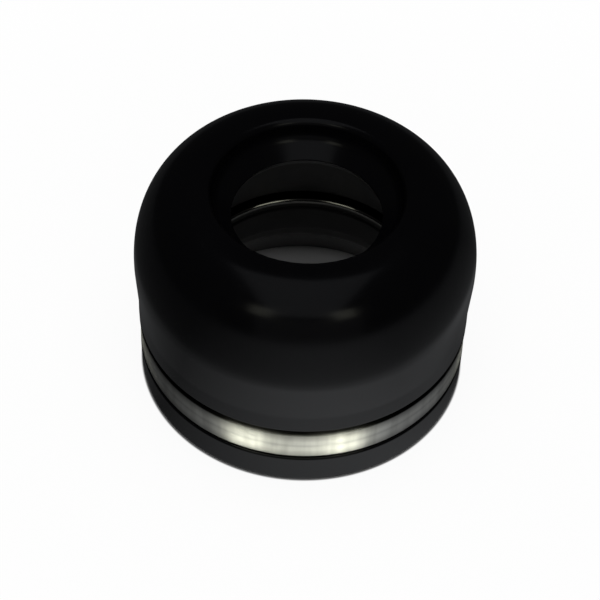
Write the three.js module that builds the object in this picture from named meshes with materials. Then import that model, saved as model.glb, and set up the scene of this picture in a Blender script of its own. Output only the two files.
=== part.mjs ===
// Valve stem seal for an engine's cylinder head, in millimetres, +Z up.
// A moulded rubber cap presses down over the top of a valve guide. The mouth in its domed head
// narrows to a lip that wipes oil off the valve stem. A polished steel band lies in a groove round
// the skirt and keeps it tight on the guide, and a flat steel ring lies in a groove inside, above
// the guide bore.
// The origin is on the axis, in the plane of the rim that the seal stands on.

import * as THREE from 'three';

// Sides of every ring, and steps in a rounded corner and in the head's curve
const SIDES = 60;
const CORNER_STEPS = 2;
const DOME_STEPS = 10;

// What the seal is made for: the free size of its lip and of its bore
const STEM_HOLE_DIAMETER = 5.26;
const GUIDE_BORE_DIAMETER = 8.28;

// Steel ring inside, and the slack that it and the band have in their grooves
const INNER_RING_WIDTH = 1.0;
const INNER_RING_THICKNESS = 0.4;
const INNER_RING_EDGE = 0.1;
const SEAT_CLEARANCE = 0.04;

// Steel band outside
const BAND_HEIGHT = 1.34;
const BAND_THICKNESS = 0.42;
const BAND_TOP_EDGE = 0.08;
const BAND_BOTTOM_EDGE = 0.18;
const BAND_CREASE = 0.03;
const BAND_GAP_BELOW = 0.06;
const BAND_GAP_ABOVE = 0.17;

// Rubber outside, from the rim up to the head
const WALL_OUTSIDE_RING = 0.86;
const RIM_FACE_WIDTH = 0.71;
const FLANGE_HEIGHT = 1.26;
const SKIRT_HEIGHT = 2.43;
const WAIST_HEIGHT = 0.75;
const WAIST_DEPTH = 0.02;
const HEAD_OVERHANG = 0.06;
const HEAD_HEIGHT = 3.42;
const HEAD_FULLNESS = 2.25;
const RIM_ROUND = 0.16;
const GROOVE_ROUND = 0.08;

// Mouth in the head, from its crown down a short collar and a funnel to the lip
const CROWN_WIDTH = 0.26;
const MOUTH_EDGE = 0.26;
const COLLAR_DEPTH = 0.66;
const COLLAR_SPLAY = 0.1;
const FUNNEL_ROUND = 0.7;
const FUNNEL_DEPTH = 0.57;
const FUNNEL_WIDTH = 0.65;
const LIP_EDGE = 0.06;

// Rubber inside, from the rim up to the cone under the lip
const LEAD_IN_HEIGHT = 2.4;
const LEAD_IN_ROUND = 0.12;
const GRIP_HEIGHT = 1.05;
const RECESS_HEIGHT = 0.29;
const CONE_SETBACK = 0.18;
const CONE_EDGE = 0.08;

// Radii worked out from the bore outwards
const boreRadius = GUIDE_BORE_DIAMETER / 2;
const innerRingRadius = boreRadius + INNER_RING_WIDTH;
const recessRadius = innerRingRadius + SEAT_CLEARANCE;
const rimRadius = recessRadius + WALL_OUTSIDE_RING;
const leadInRadius = rimRadius - RIM_FACE_WIDTH;
const bandInnerRadius = rimRadius - BAND_THICKNESS;
const grooveRadius = bandInnerRadius - SEAT_CLEARANCE;
const waistRadius = rimRadius - WAIST_DEPTH;
const headRadius = rimRadius + HEAD_OVERHANG;
const coneRadius = boreRadius + CONE_SETBACK;
const stemHoleRadius = STEM_HOLE_DIAMETER / 2;
const funnelRadius = stemHoleRadius + FUNNEL_WIDTH;
const mouthRadius = funnelRadius + COLLAR_SPLAY;
const crownRadius = mouthRadius + CROWN_WIDTH;

// Heights worked out from the rim upwards
const bandBottom = FLANGE_HEIGHT + BAND_GAP_BELOW;
const bandTop = bandBottom + BAND_HEIGHT;
const grooveTop = bandTop + BAND_GAP_ABOVE;
const waistLevel = grooveTop + WAIST_HEIGHT;
const headLevel = grooveTop + SKIRT_HEIGHT;
const crestLevel = headLevel + HEAD_HEIGHT;
const funnelTop = crestLevel - COLLAR_DEPTH;
const lipLevel = funnelTop - FUNNEL_DEPTH;
const ringSeatLevel = LEAD_IN_HEIGHT + GRIP_HEIGHT;
const innerRingBottom = ringSeatLevel + SEAT_CLEARANCE;
const innerRingTop = innerRingBottom + INNER_RING_THICKNESS;
const recessTop = innerRingTop + RECESS_HEIGHT;

const rubber = new THREE.MeshStandardMaterial({ color: 0x101012, roughness: 0.32, metalness: 0 });
const bandSteel = new THREE.MeshStandardMaterial({ color: 0xc9c8c2, roughness: 0.2, metalness: 1 });
const ringSteel = new THREE.MeshStandardMaterial({ color: 0x9e9e9a, roughness: 0.3, metalness: 1 });

/** Points on a circle about a centre, from one angle to another in radians, both ends included. */
function arc(centreRadius, centreLevel, radius, from, to, steps) {
  return Array.from({ length: steps + 1 }, (_, i) => {
    const angle = from + ((to - from) * i) / steps;
    return [centreRadius + radius * Math.cos(angle), centreLevel + radius * Math.sin(angle)];
  });
}

/** The round that takes the place of a corner, given the corners before and after it. */
function roundedCorner(before, [radius, level, round], after) {
  const corner = new THREE.Vector2(radius, level);
  const back = new THREE.Vector2(before[0], before[1]).sub(corner).normalize();
  const on = new THREE.Vector2(after[0], after[1]).sub(corner).normalize();
  const halfAngle = Math.acos(back.dot(on)) / 2;
  const centre = back.clone().add(on).setLength(round / Math.sin(halfAngle)).add(corner);
  const start = back.clone().multiplyScalar(round / Math.tan(halfAngle)).add(corner).sub(centre);
  const sweep = Math.PI - 2 * halfAngle;
  const turn = Math.sign(on.cross(back)) * sweep;
  return arc(centre.x, centre.y, round, start.angle(), start.angle() + turn, CORNER_STEPS);
}

/** A ring turned about +Z. Its section is a list of corners: radius, level and an optional round. */
function turned(name, corners, material) {
  const section = corners.flatMap((corner, i) => {
    if (corner.length < 3) return [corner];
    return roundedCorner(corners.at(i - 1), corner, corners[(i + 1) % corners.length]);
  });
  const outline = [...section, section[0]].map(([radius, level]) => new THREE.Vector2(radius, level));
  const geometry = new THREE.LatheGeometry(outline, SIDES).rotateX(Math.PI / 2);
  const mesh = new THREE.Mesh(geometry, material);
  mesh.name = name;
  return mesh;
}

/** The head's outside, a full-bodied quarter ellipse from the top of the skirt to the crown. */
function domeCurve() {
  return Array.from({ length: DOME_STEPS + 1 }, (_, i) => {
    const angle = (i / DOME_STEPS) * (Math.PI / 2);
    return [
      crownRadius + (headRadius - crownRadius) * Math.cos(angle) ** (2 / HEAD_FULLNESS),
      headLevel + HEAD_HEIGHT * Math.sin(angle) ** (2 / HEAD_FULLNESS),
    ];
  });
}

const sealBody = turned('seal_body', [
  [leadInRadius, 0, LEAD_IN_ROUND],
  [rimRadius, 0, RIM_ROUND],
  [rimRadius, FLANGE_HEIGHT, GROOVE_ROUND],
  [grooveRadius, FLANGE_HEIGHT],
  [grooveRadius, grooveTop],
  [rimRadius, grooveTop, GROOVE_ROUND],
  [waistRadius, waistLevel],
  ...domeCurve(),
  [mouthRadius, crestLevel, MOUTH_EDGE],
  [funnelRadius, funnelTop, FUNNEL_ROUND],
  [stemHoleRadius, lipLevel, LIP_EDGE],
  [coneRadius, recessTop, CONE_EDGE],
  [recessRadius, recessTop],
  [recessRadius, ringSeatLevel],
  [boreRadius, ringSeatLevel, GROOVE_ROUND],
  [boreRadius, LEAD_IN_HEIGHT],
], rubber);

const retainingBand = turned('retaining_band', [
  [bandInnerRadius, bandBottom],
  [rimRadius, bandBottom, BAND_BOTTOM_EDGE],
  [rimRadius - BAND_CREASE, bandBottom + BAND_HEIGHT / 2],
  [rimRadius, bandTop, BAND_TOP_EDGE],
  [bandInnerRadius, bandTop],
], bandSteel);

const stiffeningRing = turned('stiffening_ring', [
  [boreRadius, innerRingBottom, INNER_RING_EDGE],
  [innerRingRadius, innerRingBottom],
  [innerRingRadius, innerRingTop],
  [boreRadius, innerRingTop, INNER_RING_EDGE],
], ringSteel);

const group = new THREE.Group();
group.add(sealBody, retainingBand, stiffeningRing);

export default group;
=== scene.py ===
import math

import bpy
from mathutils import Matrix, Vector


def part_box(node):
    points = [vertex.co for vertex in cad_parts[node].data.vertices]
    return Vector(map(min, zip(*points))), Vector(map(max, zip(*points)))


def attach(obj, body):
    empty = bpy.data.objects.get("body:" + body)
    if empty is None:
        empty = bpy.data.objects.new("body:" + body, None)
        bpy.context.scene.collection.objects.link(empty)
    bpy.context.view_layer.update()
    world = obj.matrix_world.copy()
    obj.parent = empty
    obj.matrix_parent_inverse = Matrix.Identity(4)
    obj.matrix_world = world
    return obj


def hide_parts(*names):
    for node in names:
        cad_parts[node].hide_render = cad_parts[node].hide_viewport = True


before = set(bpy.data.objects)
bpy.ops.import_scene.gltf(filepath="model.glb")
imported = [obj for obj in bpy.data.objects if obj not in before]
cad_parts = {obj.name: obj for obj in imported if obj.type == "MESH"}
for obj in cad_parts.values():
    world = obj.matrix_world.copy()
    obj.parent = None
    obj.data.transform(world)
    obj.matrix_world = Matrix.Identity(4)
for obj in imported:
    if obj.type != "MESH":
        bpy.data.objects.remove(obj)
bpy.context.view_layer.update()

# Sizes are in millimetres, and a mesh is scaled to metres when it is made.
MM = 0.001
SIDES = 288

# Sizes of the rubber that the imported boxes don't give
BORE_RADIUS = 4.14
LEAD_IN_RADIUS = 5.33
STEM_HOLE_RADIUS = 2.63
FUNNEL_RADIUS = 3.28
MOUTH_RADIUS = 3.38
CROWN_RADIUS = 3.64
COLLAR_DEPTH = 0.66
FUNNEL_DEPTH = 0.57
RIM_RADIUS = 6.04
WAIST_DEPTH = 0.02
WAIST_HEIGHT = 0.75
SKIRT_HEIGHT = 2.43
HEAD_FULLNESS = 2.25
LEAD_IN_HEIGHT = 2.4
BAND_THICKNESS = 0.42
BAND_GAP_BELOW = 0.06
BAND_GAP_ABOVE = 0.17
RECESS_HEIGHT = 0.29
CONE_SETBACK = 0.18
SEAT_CLEARANCE = 0.04

# Rounds and edges at the corners
RIM_ROUND = 0.16
LEAD_IN_ROUND = 0.12
GROOVE_ROUND = 0.08
SHARP_ROUND = 0.03
BAND_TOP_EDGE = 0.08
BAND_BOTTOM_EDGE = 0.18
BAND_CREASE = 0.03
CREASE_ROUND = 0.6
RING_EDGE = 0.1
MOUTH_EDGE = 0.26
FUNNEL_ROUND = 0.7
LIP_EDGE = 0.06
CONE_EDGE = 0.08
WAIST_ROUND = 2.0
LEAD_IN_TOP_ROUND = 0.3

# The faint line round the rubber where the head begins
HEAD_LINE_DROP = 0.05
HEAD_LINE_WIDTH = 0.12
HEAD_LINE_DEPTH = 0.002
HEAD_LINE_SHOULDER = 0.003
HEAD_LINE_SHOULDER_ROUND = 0.3
HEAD_LINE_ROUND = 0.1

# The part of the rubber inside the mouth, which is duller than the outside
CAVITY_RADII = (4.4, 4.6)
CAVITY_LEVELS = (7.1, 7.35)
CAVITY_DULLNESS = 0.35


def box_mm(node):
    """Outer radius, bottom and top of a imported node, in millimetres."""
    low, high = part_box(node)
    return high.x / MM, low.z / MM, high.z / MM


HEAD_RADIUS, _, CREST = box_mm("seal_body")
_, BAND_BOTTOM, BAND_TOP = box_mm("retaining_band")
RING_RADIUS, RING_BOTTOM, RING_TOP = box_mm("stiffening_ring")

FLANGE_TOP = BAND_BOTTOM - BAND_GAP_BELOW
GROOVE_TOP = BAND_TOP + BAND_GAP_ABOVE
HEAD_LEVEL = GROOVE_TOP + SKIRT_HEIGHT
RING_SEAT = RING_BOTTOM - SEAT_CLEARANCE
RECESS_TOP = RING_TOP + RECESS_HEIGHT
BAND_INNER_RADIUS = RIM_RADIUS - BAND_THICKNESS
GROOVE_RADIUS = BAND_INNER_RADIUS - SEAT_CLEARANCE
CONE_RADIUS = BORE_RADIUS + CONE_SETBACK


# A section is a list of points (radius, level, normal angle). It runs anticlockwise, with the radius
# to the right.

def arc(centre, radius, start, end, steps):
    """Points on a circle, with their outward normals, from one angle to another."""
    points = []
    for i in range(steps + 1):
        angle = start + (end - start) * i / steps
        points.append((centre[0] + radius * math.cos(angle), centre[1] + radius * math.sin(angle), angle))
    return points


def rounded_corner(before, corner, after, round_radius, steps=6):
    """The round that takes a corner's place. A hollow corner's normals point to the round's centre."""
    here = Vector(corner)
    back = (Vector(before[:2]) - here).normalized()
    on = (Vector(after[:2]) - here).normalized()
    half = math.acos(max(-1.0, min(1.0, back.dot(on)))) / 2
    centre = here + (back + on).normalized() * (round_radius / math.sin(half))
    start = here + back * (round_radius / math.tan(half)) - centre
    hollow = on.x * back.y - on.y * back.x < 0
    turn = (math.pi - 2 * half) * (-1 if hollow else 1)
    first = math.atan2(start.y, start.x)
    points = arc(centre, round_radius, first, first + turn, steps)
    if hollow:
        points = [(r, z, angle + math.pi) for r, z, angle in points]
    return points


def section(corners):
    """Section points from corners (radius, level, round) and from points that ready() has marked."""
    points = []
    for i, corner in enumerate(corners):
        if len(corner) == 4:
            points.append(corner[:3])
            continue
        before = corners[i - 1]
        after = corners[(i + 1) % len(corners)]
        points += rounded_corner(before, corner[:2], after, corner[2])
    return points


def ready(points):
    """Marks points that already have their normals, so that section() keeps them."""
    return [(r, z, angle, True) for r, z, angle in points]


def dome_curve(steps=48):
    """The head's outside, a full-bodied quarter ellipse from the skirt to the crown."""
    across = HEAD_RADIUS - CROWN_RADIUS
    up = CREST - HEAD_LEVEL
    points = []
    for i in range(steps + 1):
        t = i / steps * math.pi / 2
        c = max(0.0, math.cos(t)) ** (2 / HEAD_FULLNESS)
        s = math.sin(t) ** (2 / HEAD_FULLNESS)
        normal = math.atan2(s ** (HEAD_FULLNESS - 1) / up, c ** (HEAD_FULLNESS - 1) / across)
        points.append((CROWN_RADIUS + across * c, HEAD_LEVEL + up * s, normal))
    return points


def turned(name, points, material):
    """A ring turned about +Z from section points, with each vertex's true normal."""
    vertices = []
    normals = []
    for i in range(SIDES):
        azimuth = 2 * math.pi * i / SIDES
        c, s = math.cos(azimuth), math.sin(azimuth)
        for r, z, angle in points:
            vertices.append((r * c * MM, r * s * MM, z * MM))
            normals.append((math.cos(angle) * c, math.cos(angle) * s, math.sin(angle)))
    count = len(points)
    faces = []
    for i in range(SIDES):
        here = i * count
        there = (i + 1) % SIDES * count
        for j in range(count):
            k = (j + 1) % count
            faces.append((here + j, there + j, there + k, here + k))
    mesh = bpy.data.meshes.new(name)
    mesh.from_pydata(vertices, [], faces)
    mesh.shade_smooth()
    mesh.normals_split_custom_set_from_vertices(normals)
    piece = bpy.data.objects.new(name, mesh)
    bpy.context.scene.collection.objects.link(piece)
    mesh.materials.append(material)
    return piece


class Nodes:
    """A material's or world's node tree, with short calls to add and join nodes."""

    def __init__(self, owner):
        owner.use_nodes = True
        self.tree = owner.node_tree
        self.tree.nodes.clear()

    def add(self, kind, **settings):
        node = self.tree.nodes.new(kind)
        for name, value in settings.items():
            setattr(node, name, value)
        return node

    def join(self, output, socket):
        self.tree.links.new(output, socket)

    def fill(self, node, **values):
        """Sets sockets by name, and joins those whose value is another node's output."""
        for name, value in values.items():
            socket = node.inputs[name.replace("_", " ")]
            if isinstance(value, bpy.types.NodeSocket):
                self.join(value, socket)
            else:
                socket.default_value = value
        return node

    def math(self, operation, a, b=0.0, clamp=False):
        node = self.add("ShaderNodeMath", operation=operation, use_clamp=clamp)
        for socket, value in zip(node.inputs, (a, b)):
            if isinstance(value, bpy.types.NodeSocket):
                self.join(value, socket)
            else:
                socket.default_value = value
        return node.outputs[0]

    def span(self, value, low, high, to_low=0.0, to_high=1.0):
        """Maps a value from one range to another, and holds it inside that range."""
        node = self.add("ShaderNodeMapRange")
        self.fill(node, Value=value, From_Min=low, From_Max=high, To_Min=to_low, To_Max=to_high)
        return node.outputs["Result"]

    def noise(self, vector, scale, detail=3.0, roughness=0.5):
        node = self.add("ShaderNodeTexNoise")
        self.fill(node, Vector=vector, Scale=scale, Detail=detail, Roughness=roughness)
        return node.outputs["Fac"]

    def bump(self, height, strength, distance, normal=None):
        node = self.add("ShaderNodeBump")
        self.fill(node, Height=height, Strength=strength, Distance=distance)
        if normal is not None:
            self.join(normal, node.inputs["Normal"])
        return node.outputs["Normal"]


def place(nodes):
    """Object coordinates, and the same as distance from the axis, azimuth and level."""
    coordinates = nodes.add("ShaderNodeTexCoord").outputs["Object"]
    parts = nodes.add("ShaderNodeSeparateXYZ")
    nodes.join(coordinates, parts.inputs[0])
    x, y, z = parts.outputs
    radius = nodes.math("SQRT", nodes.math("ADD", nodes.math("MULTIPLY", x, x), nodes.math("MULTIPLY", y, y)))
    azimuth = nodes.math("ARCTAN2", y, x)
    return coordinates, radius, azimuth, z


def rubber_material():
    """Black moulded rubber with a soft gloss, faint cloudiness and a fine skin."""
    material = bpy.data.materials.new("rubber")
    nodes = Nodes(material)
    coordinates, radius, _, level = place(nodes)
    cloud = nodes.noise(coordinates, 420.0, 4.0, 0.6)
    skin = nodes.noise(coordinates, 9000.0, 2.0, 0.5)
    swell = nodes.noise(coordinates, 320.0, 1.0, 0.4)
    tone = nodes.add("ShaderNodeMix", data_type="RGBA")
    nodes.join(cloud, tone.inputs["Factor"])
    tone.inputs[6].default_value = (0.0006, 0.0006, 0.0008, 1)
    tone.inputs[7].default_value = (0.0012, 0.0012, 0.0015, 1)
    gloss = nodes.span(cloud, 0.3, 0.7, 0.17, 0.22)
    inner, outer = CAVITY_RADII
    low, high = CAVITY_LEVELS
    inside = nodes.span(radius, inner * MM, outer * MM, CAVITY_DULLNESS, 0.0)
    below = nodes.span(level, low * MM, high * MM, 1.0, 0.0)
    gloss = nodes.math("ADD", gloss, nodes.math("MULTIPLY", inside, below))
    normal = nodes.bump(swell, 0.15, 0.00003)
    normal = nodes.bump(skin, 0.10, 0.000004, normal)
    shader = nodes.add("ShaderNodeBsdfPrincipled")
    nodes.fill(shader, Base_Color=tone.outputs[2], Roughness=gloss, Normal=normal, IOR=1.5)
    output = nodes.add("ShaderNodeOutputMaterial")
    nodes.join(shader.outputs[0], output.inputs[0])
    return material


def steel_material(name, colour, roughness, lines, shade):
    """Bright steel with fine lines round it, which spread its highlights up and down.

    The function shade paints shade into the steel's colour, from 0 to 1, from the place on it.
    """
    material = bpy.data.materials.new(name)
    nodes = Nodes(material)
    coordinates, radius, azimuth, level = place(nodes)
    across = nodes.add("ShaderNodeCombineXYZ")
    nodes.join(nodes.math("MULTIPLY", azimuth, 0.0006), across.inputs["X"])
    nodes.join(level, across.inputs["Y"])
    nodes.join(radius, across.inputs["Z"])
    line = nodes.noise(across.outputs[0], 16000.0, 3.0, 0.6)
    broad = nodes.noise(across.outputs[0], 2600.0, 2.0, 0.5)
    normal = nodes.bump(broad, 0.25, 0.00002)
    normal = nodes.bump(line, lines, 0.000006, normal)
    tangent = nodes.add("ShaderNodeTangent", direction_type="RADIAL", axis="Z")
    shader = nodes.add("ShaderNodeBsdfPrincipled")
    # Painted shade: the shade function darkens the steel's colour towards black.
    tone = nodes.add("ShaderNodeMix", data_type="RGBA")
    nodes.join(shade(nodes, coordinates, radius, level), tone.inputs["Factor"])
    tone.inputs[6].default_value = (0, 0, 0, 1)
    tone.inputs[7].default_value = (*colour, 1)
    nodes.fill(shader, Base_Color=tone.outputs[2], Metallic=1.0, Normal=normal, Tangent=tangent.outputs[0],
               Anisotropic=1.0, Anisotropic_Rotation=0.25)
    nodes.join(nodes.span(line, 0.3, 0.7, roughness * 0.85, roughness * 1.15), shader.inputs["Roughness"])
    output = nodes.add("ShaderNodeOutputMaterial")
    nodes.join(shader.outputs[0], output.inputs[0])
    return material


def band_painted_shade(nodes, coordinates, radius, level):
    """Painted shade on the band: darker towards both edges and along its middle crease, with faint upright
    streaks.
    """
    low, high = BAND_BOTTOM * MM, BAND_TOP * MM
    # Painted shade: the steel's colour is darker towards its bottom and top edges.
    bottom = nodes.span(level, low + 0.05 * MM, low + 0.45 * MM, 0.35, 1.0)
    top = nodes.math("MULTIPLY", nodes.span(level, high - 0.45 * MM, high - 0.06 * MM, 1.0, 0.4),
                     nodes.span(level, high - 0.1 * MM, high - 0.03 * MM, 1.0, 0.08))
    # Painted shade along the band's middle crease.
    from_crease = nodes.math("ABSOLUTE", nodes.math("SUBTRACT", level, (low + high) / 2))
    crease = nodes.span(from_crease, 0.02 * MM, 0.1 * MM, 0.85, 1.0)
    flat = nodes.add("ShaderNodeMapping")
    flat.inputs["Scale"].default_value = (1.0, 1.0, 0.12)
    nodes.join(coordinates, flat.inputs["Vector"])
    streak = nodes.span(nodes.noise(flat.outputs[0], 1900.0, 2.0, 0.6), 0.35, 0.6, 0.78, 1.0)
    return nodes.math("MULTIPLY", nodes.math("MULTIPLY", bottom, top), nodes.math("MULTIPLY", crease, streak))


def ring_painted_shade(nodes, coordinates, radius, level):
    """Painted shade on the ring: bright only along its upper inner edge, and dark over the rest of it."""
    # Painted shade: the colour drops to near black away from the upper inner edge.
    inner = nodes.span(radius, (BORE_RADIUS + 0.06) * MM, (BORE_RADIUS + 0.12) * MM, 1.0, 0.03)
    upper = nodes.span(level, (RING_TOP - 0.2) * MM, (RING_TOP - 0.06) * MM, 0.05, 1.0)
    return nodes.math("MULTIPLY", inner, upper)


rubber = rubber_material()
band_steel = steel_material("band_steel", (0.85, 0.85, 0.81), 0.34, 0.3, band_painted_shade)
ring_steel = steel_material("ring_steel", (0.34, 0.34, 0.32), 0.16, 0.0, ring_painted_shade)

head_line = HEAD_LEVEL - HEAD_LINE_DROP
seal_body = turned("seal_body_rubber", section([
    (LEAD_IN_RADIUS, 0.0, LEAD_IN_ROUND),
    (RIM_RADIUS, 0.0, RIM_ROUND),
    (RIM_RADIUS, FLANGE_TOP, GROOVE_ROUND),
    (GROOVE_RADIUS, FLANGE_TOP, SHARP_ROUND),
    (GROOVE_RADIUS, GROOVE_TOP, SHARP_ROUND),
    (RIM_RADIUS, GROOVE_TOP, GROOVE_ROUND),
    (RIM_RADIUS - WAIST_DEPTH, GROOVE_TOP + WAIST_HEIGHT, WAIST_ROUND),
    (HEAD_RADIUS - HEAD_LINE_SHOULDER, head_line - HEAD_LINE_WIDTH / 2, HEAD_LINE_SHOULDER_ROUND),
    (HEAD_RADIUS - HEAD_LINE_DEPTH, head_line, HEAD_LINE_ROUND),
    *ready(dome_curve()),
    (MOUTH_RADIUS, CREST, MOUTH_EDGE),
    (FUNNEL_RADIUS, CREST - COLLAR_DEPTH, FUNNEL_ROUND),
    (STEM_HOLE_RADIUS, CREST - COLLAR_DEPTH - FUNNEL_DEPTH, LIP_EDGE),
    (CONE_RADIUS, RECESS_TOP, CONE_EDGE),
    (RING_RADIUS + SEAT_CLEARANCE, RECESS_TOP, SHARP_ROUND),
    (RING_RADIUS + SEAT_CLEARANCE, RING_SEAT, SHARP_ROUND),
    (BORE_RADIUS, RING_SEAT, GROOVE_ROUND),
    (BORE_RADIUS, LEAD_IN_HEIGHT, LEAD_IN_TOP_ROUND),
]), rubber)

band_middle = (BAND_BOTTOM + BAND_TOP) / 2
retaining_band = turned("retaining_band_steel", section([
    (BAND_INNER_RADIUS, BAND_BOTTOM, SHARP_ROUND),
    (RIM_RADIUS, BAND_BOTTOM, BAND_BOTTOM_EDGE),
    (RIM_RADIUS - BAND_CREASE, band_middle, CREASE_ROUND),
    (RIM_RADIUS, BAND_TOP, BAND_TOP_EDGE),
    (BAND_INNER_RADIUS, BAND_TOP, SHARP_ROUND),
]), band_steel)

stiffening_ring = turned("stiffening_ring_steel", section([
    (BORE_RADIUS, RING_BOTTOM, RING_EDGE),
    (RING_RADIUS, RING_BOTTOM, SHARP_ROUND),
    (RING_RADIUS, RING_TOP, SHARP_ROUND),
    (BORE_RADIUS, RING_TOP, RING_EDGE),
]), ring_steel)

for piece, node, slot in (
    (seal_body, "seal_body", "rubber"),
    (retaining_band, "retaining_band", "band_steel"),
    (stiffening_ring, "stiffening_ring", "ring_steel"),
):
    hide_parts(node)
    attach(piece, "root")


# Camera. The photograph's view was fitted as a pinhole camera that looks at a point on the axis.
FRAME_PIXELS = 600
CAMERA_ELEVATION = math.radians(47.7)
CAMERA_ROLL = math.radians(2.26)
CAMERA_DISTANCE = 60.0
CAMERA_FOCUS = 1667.0
AIM_LEVEL = 4.8
AIM_PIXEL = (304.8, 264.3)
SENSOR = 36.0

camera_data = bpy.data.cameras.new("camera")
camera_data.sensor_width = SENSOR
camera_data.lens = CAMERA_FOCUS / FRAME_PIXELS * SENSOR
camera_data.shift_x = (FRAME_PIXELS / 2 - AIM_PIXEL[0]) / FRAME_PIXELS
camera_data.shift_y = (AIM_PIXEL[1] - FRAME_PIXELS / 2) / FRAME_PIXELS
camera_data.clip_start = 0.002
camera_data.clip_end = 20.0
camera = bpy.data.objects.new("camera", camera_data)
bpy.context.scene.collection.objects.link(camera)
bpy.context.scene.camera = camera
tilt = Matrix.Rotation(math.pi / 2 - CAMERA_ELEVATION, 4, "X")
roll = Matrix.Rotation(CAMERA_ROLL, 4, "Z")
reach = Vector((0, -math.cos(CAMERA_ELEVATION), math.sin(CAMERA_ELEVATION))) * CAMERA_DISTANCE
aim = Vector((0, 0, AIM_LEVEL))
camera.matrix_world = Matrix.Translation((aim + reach) * MM) @ tilt @ roll


# Floor: white to the camera. In reflections it is a pale sheet with painted light and shadow, a pool of light
# brightest just in front of the object that falls off to the sides and away from it, and a painted shadow
# round the object's foot.
FLOOR_RADIUS = 2.0
FLOOR_INSIDE_PAINTED_SHADE = 0.27
FLOOR_OUTSIDE = 0.8
# Shape and levels of the sheet's painted pool of light, and of its painted shadow at the sides, behind and at
# the object's foot
SHEET_TURN = 10
SHEET_POWER = 4.6
SHEET_NEAR = 0.46
SHEET_FAR = 0.20
SHEET_BACK = 0.16
SHEET_RIGHT = 0.3
SHEET_STEP = (9.9, 10.9)
SHEET_FADE = (40.0, 150.0)
RIGHT_START = (7.0, 9.5)
CONTACT_SHADOW_REACH = 7.6


def floor_material():
    """The floor's three looks: to the camera, to glossy and transmission rays, and to diffuse rays."""
    material = bpy.data.materials.new("floor")
    nodes = Nodes(material)
    _, radius, azimuth, _ = place(nodes)
    path = nodes.add("ShaderNodeLightPath")
    outside = nodes.span(radius, RIM_RADIUS * MM, RIM_RADIUS * MM * 1.01)

    # Painted shade: the floor under the seal is a darker grey than outside it.
    open_floor = nodes.add("ShaderNodeBsdfDiffuse")
    shade = nodes.span(outside, 0.0, 1.0, FLOOR_INSIDE_PAINTED_SHADE, FLOOR_OUTSIDE)
    grey = nodes.add("ShaderNodeCombineColor")
    for socket in grey.inputs[:3]:
        nodes.join(shade, socket)
    nodes.fill(open_floor, Color=grey.outputs[0])

    white = nodes.add("ShaderNodeEmission")
    nodes.fill(white, Color=(1, 1, 1, 1), Strength=1.0)
    glow = nodes.span(radius, 6 * MM, 30 * MM, 0.93, 1.0)
    seen = nodes.add("ShaderNodeMixShader")
    nodes.join(nodes.math("MULTIPLY", outside, glow), seen.inputs[0])
    nodes.join(open_floor.outputs[0], seen.inputs[1])
    nodes.join(white.outputs[0], seen.inputs[2])

    # How far a point of the floor lies towards the sheet's centre line, from -1 behind to 1 on it
    ahead = nodes.math("COSINE", nodes.math("ADD", azimuth, math.radians(90 - SHEET_TURN)))
    front = nodes.math("POWER", nodes.span(ahead, -1.0, 1.0), SHEET_POWER)
    side = nodes.span(nodes.math("COSINE", azimuth), 0.75, 1.0, 0.0, SHEET_RIGHT)
    side = nodes.math("MULTIPLY", side, nodes.span(radius, RIGHT_START[0] * MM, RIGHT_START[1] * MM))
    share = nodes.math("MAXIMUM", nodes.math("ADD", front, side), SHEET_BACK)
    near = nodes.span(radius, SHEET_STEP[0] * MM, SHEET_STEP[1] * MM, SHEET_NEAR, SHEET_FAR)
    away = nodes.span(radius, SHEET_FADE[0] * MM, SHEET_FADE[1] * MM, 1.0, 0.3)
    # Painted contact shadow: near the object the sheet's glow is lower, most at the sides.
    contact_shadow_level = nodes.span(ahead, 0.4, 0.95, 0.4, 0.9)
    contact_shadow_fade = nodes.span(radius, RIM_RADIUS * MM, CONTACT_SHADOW_REACH * MM)
    painted_contact_shadow = nodes.math("ADD", contact_shadow_level, nodes.math("MULTIPLY", contact_shadow_fade, nodes.math("SUBTRACT", 1.0, contact_shadow_level)))
    level = nodes.math("MULTIPLY", nodes.math("MULTIPLY", near, away), nodes.math("MULTIPLY", share, painted_contact_shadow))
    # The sheet glows with this painted light and shadow, seen only in reflections.
    painted_light_sheet = nodes.add("ShaderNodeEmission")
    nodes.fill(painted_light_sheet, Color=(0.95, 0.97, 1.0, 1), Strength=nodes.math("MULTIPLY", level, outside))
    glossy = nodes.math("ADD", path.outputs["Is Glossy Ray"], path.outputs["Is Transmission Ray"], clamp=True)
    mirrored = nodes.add("ShaderNodeMixShader")
    nodes.join(nodes.math("MULTIPLY", glossy, outside), mirrored.inputs[0])
    nodes.join(open_floor.outputs[0], mirrored.inputs[1])
    nodes.join(painted_light_sheet.outputs[0], mirrored.inputs[2])

    either = nodes.add("ShaderNodeMixShader")
    nodes.join(path.outputs["Is Camera Ray"], either.inputs[0])
    nodes.join(mirrored.outputs[0], either.inputs[1])
    nodes.join(seen.outputs[0], either.inputs[2])
    output = nodes.add("ShaderNodeOutputMaterial")
    nodes.join(either.outputs[0], output.inputs[0])
    return material


floor_mesh = bpy.data.meshes.new("floor")
corners = [(FLOOR_RADIUS * x, FLOOR_RADIUS * y, 0.0) for x, y in ((-1, -1), (1, -1), (1, 1), (-1, 1))]
floor_mesh.from_pydata(corners, [], [(0, 1, 2, 3)])
floor = bpy.data.objects.new("floor", floor_mesh)
bpy.context.scene.collection.objects.link(floor)
floor_mesh.materials.append(floor_material())


# World: white behind the floor to the camera, and a dim room to every other ray.
ROOM_LEVEL = 0.012


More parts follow.
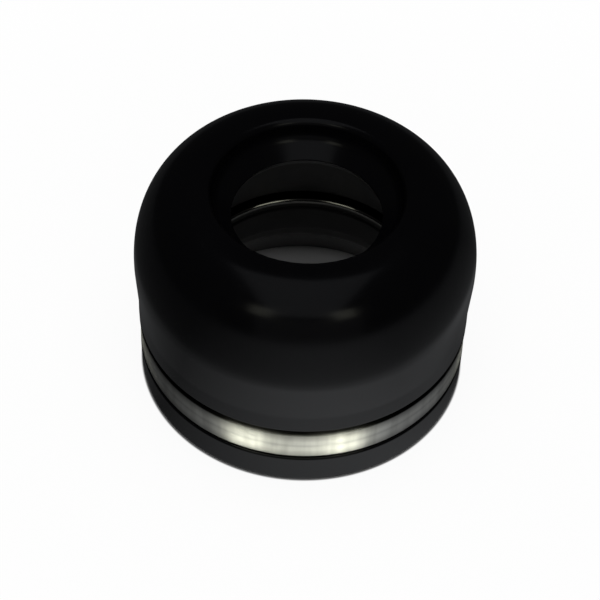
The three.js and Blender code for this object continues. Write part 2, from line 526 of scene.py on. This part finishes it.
def make_world():
    world = bpy.data.worlds.new("world")
    bpy.context.scene.world = world
    nodes = Nodes(world)
    path = nodes.add("ShaderNodeLightPath")
    room = nodes.add("ShaderNodeBackground")
    nodes.fill(room, Color=(1, 1, 1, 1), Strength=ROOM_LEVEL)
    white = nodes.add("ShaderNodeBackground")
    nodes.fill(white, Color=(1, 1, 1, 1), Strength=1.0)
    mix = nodes.add("ShaderNodeMixShader")
    nodes.join(path.outputs["Is Camera Ray"], mix.inputs[0])
    nodes.join(room.outputs[0], mix.inputs[1])
    nodes.join(white.outputs[0], mix.inputs[2])
    output = nodes.add("ShaderNodeOutputWorld")
    nodes.join(mix.outputs[0], output.inputs[0])


make_world()


LAMP_DISTANCE = 150.0


def lit_group(name, pieces):
    """A collection for lamps that light only these pieces."""
    group = bpy.data.collections.new(name)
    for piece in pieces:
        group.objects.link(piece)
    return group


def softbox(name, azimuth, elevation, wide, tall, radiance, colour=(1, 1, 1), reflects=True, group=None):
    """An area lamp that faces the object. All four angles are in degrees, and azimuth 0 is the front."""
    lamp = bpy.data.lights.new(name, "AREA")
    lamp.shape = "RECTANGLE"
    width = 2 * LAMP_DISTANCE * math.tan(math.radians(wide / 2))
    height = 2 * LAMP_DISTANCE * math.tan(math.radians(tall / 2))
    lamp.size = width * MM
    lamp.size_y = height * MM
    lamp.energy = radiance * math.pi * width * height * MM * MM
    lamp.color = colour
    piece = bpy.data.objects.new(name, lamp)
    bpy.context.scene.collection.objects.link(piece)
    a, e = math.radians(azimuth), math.radians(elevation)
    direction = Vector((math.sin(a) * math.cos(e), -math.cos(a) * math.cos(e), math.sin(e)))
    piece.location = (direction * LAMP_DISTANCE + Vector((0, 0, AIM_LEVEL))) * MM
    piece.rotation_euler = direction.to_track_quat("Z", "Y").to_euler()
    piece.visible_camera = False
    piece.visible_glossy = reflects
    if group is not None:
        piece.light_linking.receiver_collection = group
    return piece


# Soft light from above and in front sets the level at which colours render as written.
softbox("top_fill", 0, 88, 56, 56, 3.4, reflects=False)
softbox("front_fill", 0, 30, 56, 34, 1.2, reflects=False)

# What the rubber mirrors
COOL = (0.94, 0.96, 1.0)
WARM = (1.0, 1.0, 0.84)
rubber_lit = lit_group("rubber_lit", [seal_body])
softbox("top_card", 0, 71, 44, 70, 0.14, COOL, group=rubber_lit)
softbox("front_card", 4, 12, 64, 36, 0.04, group=rubber_lit)
softbox("left_window", -28, 35, 12, 13, 0.45, WARM, group=rubber_lit)
softbox("right_window", 28, 35, 12, 13, 0.48, WARM, group=rubber_lit)

# What the band mirrors
band_lit = lit_group("band_lit", [retaining_band])
softbox("left_strip", -30, 25, 18, 70, 7.0, WARM, group=band_lit)
softbox("right_strip", 27, 25, 18, 70, 7.0, WARM, group=band_lit)
softbox("front_strip", 0, 10, 54, 40, 3.0, WARM, group=band_lit)
softbox("back_left_strip", -155, 25, 22, 70, 3.0, WARM, group=band_lit)
softbox("back_right_strip", 155, 25, 22, 70, 3.0, WARM, group=band_lit)

# What the ring inside mirrors through the mouth
ring_lit = lit_group("ring_lit", [stiffening_ring])
softbox("left_glint", -36, 50, 18, 30, 0.7, WARM, group=ring_lit)
softbox("right_glint", 40, 50, 20, 30, 0.9, WARM, group=ring_lit)

bpy.context.scene.view_settings.view_transform = "Standard"
